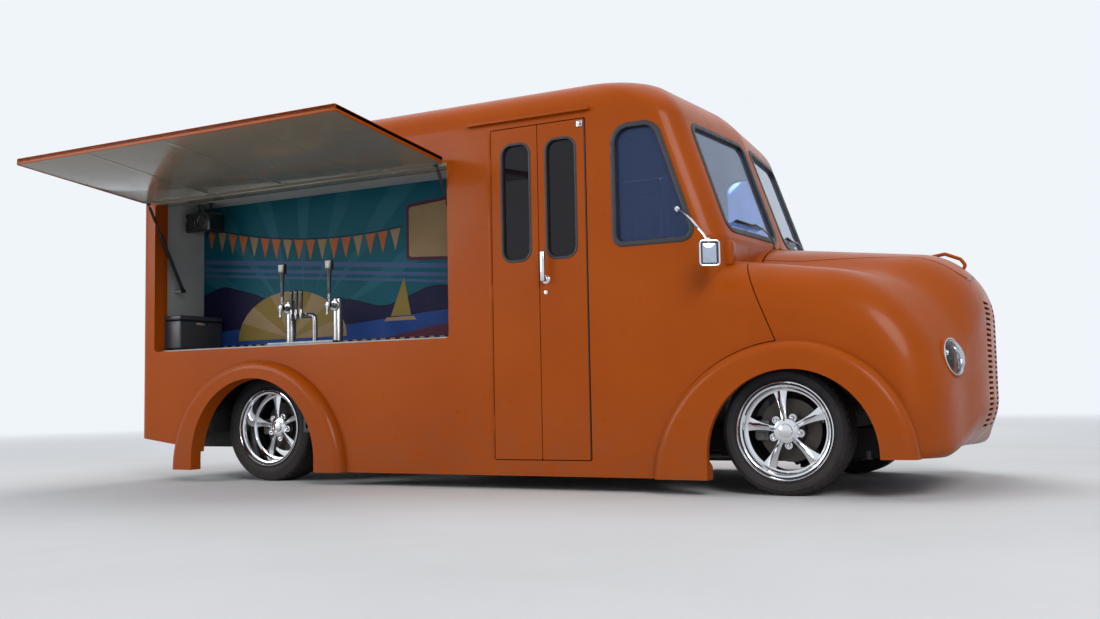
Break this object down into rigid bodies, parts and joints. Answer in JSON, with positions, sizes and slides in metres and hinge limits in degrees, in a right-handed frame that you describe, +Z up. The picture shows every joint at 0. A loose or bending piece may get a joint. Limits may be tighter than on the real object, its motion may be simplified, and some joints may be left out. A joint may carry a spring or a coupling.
{
  "type": "food truck",
  "caption": "Lowered snub-nosed step van with an open serving hatch and awning, folding side doors, rounded fenders and polished spoked wheels.",
  "frame": {"origin": "on the ground, on the centre line, midway between the axles", "axes": "+X forward along the truck's length, +Y to its left, +Z up"},
  "size_m": [5.049, 2.9033, 2.2347],
  "materials": {
    "paint_orange": "gloss orange paint",
    "paint_inner": "satin white paint",
    "paint_black": "satin black chassis paint",
    "polished": "polished",
    "alloy": "polished cast aluminium",
    "cast_grey": "rough cast",
    "steel_pipe": "dull steel",
    "tyre": "matt rubber",
    "glass_clear": "clear tinted glass",
    "glass_dark": "dark tinted glass",
    "counter_steel": "brushed",
    "mural": "satin painted panel",
    "handle_black": "gloss black",
    "seat_vinyl": "black vinyl",
    "wheel_black": "gloss black",
    "lamp_red": "red lens",
    "lamp_chrome": "bright bezel and lens"
  },
  "bodies": {
    "truck": {"roof": "paint_orange", "side_right": "paint_orange", "side_left": "paint_orange", "rear_frame": "paint_orange", "cab_front": "paint_orange", "cab_glass": "glass_clear", "front_clip": "paint_orange", "grille": "paint_orange", "headlamps": "lamp_chrome", "floor": "paint_black", "counter": "counter_steel", "bay_lining": "paint_inner", "mural_panel": "mural", "drink_taps": "polished", "tap_handles": "handle_black", "chassis_frame": "paint_black", "front_axle": "cast_grey", "rear_axle": "cast_grey", "driveshaft": "steel_pipe", "engine": "cast_grey", "exhaust": "steel_pipe", "seat": "seat_vinyl", "steering_wheel": "wheel_black", "mirrors": "polished", "tail_lamps": "lamp_red"},
    "hood": {"hood": "paint_orange"},
    "awning": {"awning": "paint_orange"},
    "strut_cylinder_rear": {"strut_cylinder_rear": "paint_black"},
    "strut_rod_rear": {"strut_rod_rear": "polished"},
    "strut_cylinder_front": {"strut_cylinder_front": "paint_black"},
    "strut_rod_front": {"strut_rod_front": "polished"},
    "door_right_rear": {"door_right_rear": "paint_orange", "door_glass_right_rear": "glass_dark"},
    "door_right_front": {"door_right_front": "paint_orange", "door_glass_right_front": "glass_dark"},
    "rear_door_right": {"rear_door_right": "paint_orange"},
    "knuckle_right": {"knuckle_right": "cast_grey"},
    "wheel_front_right": {"rim_front_right": "alloy", "tyre_front_right": "tyre"},
    "wheel_rear_right": {"rim_rear_right": "alloy", "tyre_rear_right": "tyre"},
    "door_left_rear": {"door_left_rear": "paint_orange", "door_glass_left_rear": "glass_dark"},
    "door_left_front": {"door_left_front": "paint_orange", "door_glass_left_front": "glass_dark"},
    "rear_door_left": {"rear_door_left": "paint_orange"},
    "knuckle_left": {"knuckle_left": "cast_grey"},
    "wheel_front_left": {"rim_front_left": "alloy", "tyre_front_left": "tyre"},
    "wheel_rear_left": {"rim_rear_left": "alloy", "tyre_rear_left": "tyre"}
  },
  "joints": [
    {"name": "steer_right", "type": "hinge", "parent": "truck", "child": "knuckle_right", "pos_m": [1.61925, -0.61, 0.302], "axis": [0, 0, 1], "range_deg": [-28, 28]},
    {"name": "spin_front_right", "type": "hinge", "parent": "knuckle_right", "child": "wheel_front_right", "pos_m": [1.61925, -0.725, 0.302], "axis": [0, 1, 0], "continuous": true},
    {"name": "spin_rear_right", "type": "hinge", "parent": "truck", "child": "wheel_rear_right", "pos_m": [-1.61925, -0.612, 0.325], "axis": [0, 1, 0], "continuous": true},
    {"name": "door_right_hinge", "type": "hinge", "parent": "truck", "child": "door_right_rear", "pos_m": [0.079, -0.88, 1.035], "axis": [0, 0, -1], "range_deg": [0, 80]},
    {"name": "door_right_fold", "type": "hinge", "parent": "door_right_rear", "child": "door_right_front", "pos_m": [0.366, -0.842, 1.035], "axis": [0, 0, -1], "range_deg": [-160, 0]},
    {"name": "rear_door_right_hinge", "type": "hinge", "parent": "truck", "child": "rear_door_right", "pos_m": [-2.557, -0.64, 1.09], "axis": [0, 0, 1], "range_deg": [0, 100]},
    {"name": "steer_left", "type": "hinge", "parent": "truck", "child": "knuckle_left", "pos_m": [1.61925, 0.61, 0.302], "axis": [0, 0, 1], "range_deg": [-28, 28]},
    {"name": "spin_front_left", "type": "hinge", "parent": "knuckle_left", "child": "wheel_front_left", "pos_m": [1.61925, 0.725, 0.302], "axis": [0, 1, 0], "continuous": true},
    {"name": "spin_rear_left", "type": "hinge", "parent": "truck", "child": "wheel_rear_left", "pos_m": [-1.61925, 0.612, 0.325], "axis": [0, 1, 0], "continuous": true},
    {"name": "door_left_hinge", "type": "hinge", "parent": "truck", "child": "door_left_rear", "pos_m": [0.079, 0.88, 1.035], "axis": [0, 0, 1], "range_deg": [0, 80]},
    {"name": "door_left_fold", "type": "hinge", "parent": "door_left_rear", "child": "door_left_front", "pos_m": [0.366, 0.842, 1.035], "axis": [0, 0, 1], "range_deg": [-160, 0]},
    {"name": "rear_door_left_hinge", "type": "hinge", "parent": "truck", "child": "rear_door_left", "pos_m": [-2.557, 0.64, 1.09], "axis": [0, 0, -1], "range_deg": [0, 100]},
    {"name": "hood_hinge", "type": "hinge", "parent": "truck", "child": "hood", "pos_m": [1.436, 0, 1.25], "axis": [0, -1, 0], "range_deg": [0, 50]},
    {"name": "awning_hinge", "type": "hinge", "parent": "truck", "child": "awning", "pos_m": [-1.375, -0.904, 1.78], "axis": [1, 0, 0], "range_deg": [0, 95.6]},
    {"name": "strut_rear_swing", "type": "hinge", "parent": "truck", "child": "strut_cylinder_rear", "pos_m": [-2.412, -0.657, 1.216], "axis": [1, 0, 0], "range_deg": [-8, 0]},
    {"name": "strut_rear_slide", "type": "slide", "parent": "strut_cylinder_rear", "child": "strut_rod_rear", "axis": [0, -0.4862, 0.8738], "range_m": [-0.0785, 0]},
    {"name": "strut_front_swing", "type": "hinge", "parent": "truck", "child": "strut_cylinder_front", "pos_m": [-0.218, -0.657, 1.216], "axis": [1, 0, 0], "range_deg": [-8, 0]},
    {"name": "strut_front_slide", "type": "slide", "parent": "strut_cylinder_front", "child": "strut_rod_front", "axis": [0, -0.4862, 0.8738], "range_m": [-0.0785, 0]}
  ],
  "couplings": [
    {"joint": "door_right_fold", "follows": "door_right_hinge", "ratio": -2},
    {"joint": "door_left_fold", "follows": "door_left_hinge", "ratio": -2},
    {"joint": "steer_right", "follows": "steer_left", "ratio": 1},
    {"joint": "strut_rear_swing", "follows": "awning_hinge", "ratio": -0.0675},
    {"joint": "strut_rear_slide", "follows": "awning_hinge", "m_per_rad": -0.0458},
    {"joint": "strut_front_swing", "follows": "awning_hinge", "ratio": -0.0675},
    {"joint": "strut_front_slide", "follows": "awning_hinge", "m_per_rad": -0.0458}
  ]
}
